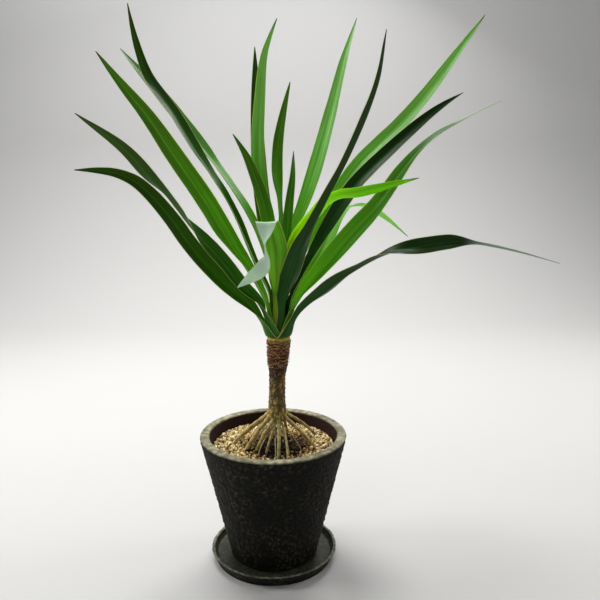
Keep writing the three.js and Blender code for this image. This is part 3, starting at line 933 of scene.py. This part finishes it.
def bladeStations(node):
    # left edge, midrib and right edge at each station of the CAD blade, base first
    bm = bmesh.new()
    bm.from_mesh(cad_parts[node].data)
    bmesh.ops.remove_doubles(bm, verts=bm.verts, dist=1e-6)
    bm.verts.index_update()
    ring = sorted(bm.verts, key=lambda v: v.co.z)[:6]
    seen = set(ring)
    first = max(((a, b) for a in ring for b in ring), key=lambda pair: (pair[0].co - pair[1].co).length)
    wide = first[1].co - first[0].co
    stations = []
    while ring:
        ring = sorted(ring, key=lambda v: wide.dot(v.co))
        left, middle, right = ((ring[i].co + ring[i + 1].co) / (2 * mm) for i in (0, 2, 4))
        wide = right - left
        stations.append([left, middle, right])
        following = {e.other_vert(v) for v in ring for e in v.link_edges} - seen
        seen |= following
        ring = sorted(following, key=lambda v: v.index)
    bm.free()
    left, middle, right = stations[0]
    ahead = stations[1][1] - middle
    if ahead.cross(right - left).dot((left + right) / 2 - middle) < 0:
        stations = [station[::-1] for station in stations]
    return zip(*stations)


def bladeWidth(number, along):
    # share of the CAD width: two leaves end in a thread, and the creased one is pinched at its waist
    if number in threads["from"]:
        start = threads["from"][number]
        return mix(1, threads["width"], ease(along, start - 0.1, start))
    if number == creased["leaf"]:
        fold, waist, pinch = creased["fold"], creased["waist"], creased["pinch"]
        if along < waist:
            return mix(1, pinch, max(0, (along - fold) / (waist - fold)) ** 1.3)
        return mix(pinch, creased["tip"], ease(along, waist, waist + 0.1))
    return 1


def bladeBleachAndSheen(number, along):
    # painted silver sheen on the underside that the crease turns up, and the bleached threads
    if number == creased["leaf"]:
        return ease(along, 0.5, 0.56)
    if number in threads["from"]:
        start = threads["from"][number]
        return threads["bleachAndSheen"] * ease(along, start - 0.06, start + 0.03)
    return 0


def keelAt(x):
    # how far the cross-section has risen from the midrib, at 0, to the margins, at 1
    soft = blade["keelRound"]
    return (sqrt(x * x + soft ** 2) - soft) / (sqrt(1 + soft ** 2) - soft)


def claspAt(number, along, x, opened, left, middle, right):
    # a point of the sheath that wraps the crown, and the way out of the crown there
    out = Vector((middle.x - blade["crownX"], middle.y, 0))
    reach = max(out.length, blade["leastReach"])
    facing = atan2(out.y, out.x)
    tangent = Vector((-sin(facing), cos(facing), 0))
    handed = 1 if (right - left).dot(tangent) > 0 else -1
    half = (right - left).length / 2
    spread = mix(radians(blade["sheathWrap"]), half / reach, opened)
    angle = facing + handed * x * spread
    heel = 1 - ease(along, 0, blade["heelShare"])
    heelReach = max(reach, blade["heelReach"] - blade["heelStep"] * number)
    sheathReach = mix(reach, heelReach, heel) - handed * x * blade["overlap"]
    around = Vector((cos(angle), sin(angle), 0))
    foot = Vector((blade["crownX"], 0, mix(middle.z, blade["heelAt"], heel)))
    return foot + around * sheathReach, around


def makeLeaf(number, finish):
    node = f"leaf_{number:02d}"
    lefts, middles, rights = bladeStations(node)
    length = sum((b - a).length for a, b in zip(middles, middles[1:]))
    bm, spots = openTube(blade["columns"], blade["rows"], *bladeLayers)
    layers = bm.verts.layers.float
    gain = (creased if number == creased["leaf"] else blade)["keelGain"]
    rowsData = []
    for i in range(blade["rows"] + 1):
        t = i / blade["rows"]
        left, middle, right = (curveAt(side, t) for side in (lefts, middles, rights))
        ahead = curveAt(middles, min(t + 0.01, 1)) - curveAt(middles, max(t - 0.01, 0))
        rowsData.append((left, middle, right, ahead.cross(right - left).normalized()))
    for v, turnShare, along in spots:
        turn = tau * turnShare
        x, side = cos(turn), sin(turn)
        left, middle, right, face = rowsData[round(along * blade["rows"])]
        keel = ((left + right) / 2 - middle) * keelAt(x) * gain
        flat = middle + ((right - left) / 2 * x + keel) * bladeWidth(number, along)
        opened = ease(along * length / blade["sheathLength"])  # 0 in the sheath, 1 in the free blade
        clasp, around = claspAt(number, along, x, opened, left, middle, right)
        point = clasp.lerp(flat, opened)
        inward = (-around).lerp(face, opened).normalized()
        ripple = lumps(along * length, x * 3, number * 9, blade["waveLength"], number)
        edgeWave = blade["wave"] * x ** 3 * ripple * ease(along, 0.1, 0.3)
        thick = mix(blade["thickBase"], blade["thickTip"], along ** 0.6)
        thick = mix(blade["sheathThick"], thick, opened)
        lift = side * abs(side) ** -0.3 * thick / 2 if abs(side) > 1e-6 else 0
        if side < 0:
            midrib = blade["midrib"] * exp(-((x / blade["midribWidth"]) ** 2))
            lift -= midrib * (1 - ease(along, 0.35, 0.8)) * opened
        v.co = (point + inward * (lift + edgeWave)) * mm
        v[layers["along"]] = along
        v[layers["across"]] = x
        v[layers["under"]] = ease(-side, -0.1, 0.3)
        v[layers["leafSeed"]] = number * 3.1
        v[layers["bleachAndSheen"]] = bladeBleachAndSheen(number, along)
    closeTube(bm)
    return newPiece(f"dragonLeaf{number:02d}", bm, finish, [node])


def makeCrown():
    finishes = {name: makeLeafFinish(name, look) for name, look in leafFinishes.items()}
    for i, name in enumerate(leafTable):
        makeLeaf(i + 1, finishes[name])


makeCrown()
print("leaves made")


# floor, backdrop and soft light

studio = {
    "floorNear": -2.0,
    "wallAt": 1.5,
    "bend": 0.5,
    "width": 5.0,
    "height": 2.6,
    "colour": "#adadad",
    # name: place, target, size, power, colour
    "lights": {
        "skyPanel": ((-0.3, 0.6, 1.4), (0, 0.0, 0.3), 0.8, 19, "#fffefb"),
        "backPanel": ((0.5, 1.1, 1.35), (0, 0, 0.35), 0.6, 14, "#fffefb"),
        "wallPanel": ((-0.3, 0.8, 1.6), (-0.1, 1.5, 0.7), 0.8, 12, "#ffffff"),
        "leftPanel": ((-1.2, 0.15, 0.8), (0, 0, 0.2), 0.5, 10, "#fffdf8"),
        "rightPanel": ((1.2, 0.35, 0.7), (0, 0, 0.2), 0.5, 5, "#fffaf2"),
        "frontPanel": ((-0.6, -1.3, 1.1), (0, 0, 0.3), 0.5, 3, "#ffffff"),
    },
    "world": ("#f6f6f8", 0.3, 0.68),  # colour, its light, and how bright it looks itself
}


def makeStage():
    near, wall, bend, high = studio["floorNear"], studio["wallAt"], studio["bend"], studio["height"]
    curve = [(near, 0), (0, 0), (wall - bend, 0)]
    for i in range(1, 17):
        a = pi / 2 * i / 16
        curve.append((wall - bend + bend * sin(a), bend - bend * cos(a)))
    curve.append((wall, high))
    bm = bmesh.new()
    verts = [bm.verts.new((-studio["width"] / 2, y, z)) for y, z in curve]
    edges = [bm.edges.new(pair) for pair in zip(verts, verts[1:])]
    swept = bmesh.ops.extrude_edge_only(bm, edges=edges)
    moved = [v for v in swept["geom"] if isinstance(v, bmesh.types.BMVert)]
    bmesh.ops.translate(bm, verts=moved, vec=(studio["width"], 0, 0))
    bmesh.ops.recalc_face_normals(bm, faces=bm.faces)
    mesh = bpy.data.meshes.new("backdrop")
    bm.to_mesh(mesh)
    bm.free()
    mesh.shade_smooth()
    material, tree, shader, _ = newMaterial("palePaper", Roughness=0.85)
    tone = useGroup(tree, stoneGrain, Size=40.0)
    cloudy = maths(tree, "MULTIPLY", tone["Mottle"], 0.06)
    paper = blend(tree, cloudy, paint(studio["colour"]), paint("#c9c5be"))
    tree.links.new(paper, shader.inputs["Base Color"])
    mesh.materials.append(material)
    backdrop = bpy.data.objects.new("backdrop", mesh)
    bpy.context.scene.collection.objects.link(backdrop)


def makeLights():
    for name, (place, target, size, power, colour) in studio["lights"].items():
        data = bpy.data.lights.new(name, "AREA")
        data.shape = "DISK"
        data.size = size
        data.energy = power
        data.color = paint(colour)[:3]
        lamp = bpy.data.objects.new(name, data)
        lamp.location = place
        lamp.rotation_euler = (Vector(target) - Vector(place)).to_track_quat("-Z", "Y").to_euler()
        bpy.context.scene.collection.objects.link(lamp)
    world = bpy.data.worlds.new("softWorld")
    world.use_nodes = True
    tree = world.node_tree
    tree.nodes.clear()
    colour, light, seen = studio["world"]
    lighting = add(tree, "Background", {"Color": paint(colour), "Strength": light})
    paper = add(tree, "Background", {"Color": paint(colour), "Strength": seen})
    direct = add(tree, "LightPath").outputs["Is Camera Ray"]
    both = add(tree, "MixShader", {0: direct, 1: lighting.outputs[0], 2: paper.outputs[0]})
    add(tree, "OutputWorld", {"Surface": both.outputs[0]})
    bpy.context.scene.world = world


makeStage()
makeLights()
bpy.context.scene.view_settings.view_transform = "Standard"
print("stage lit")
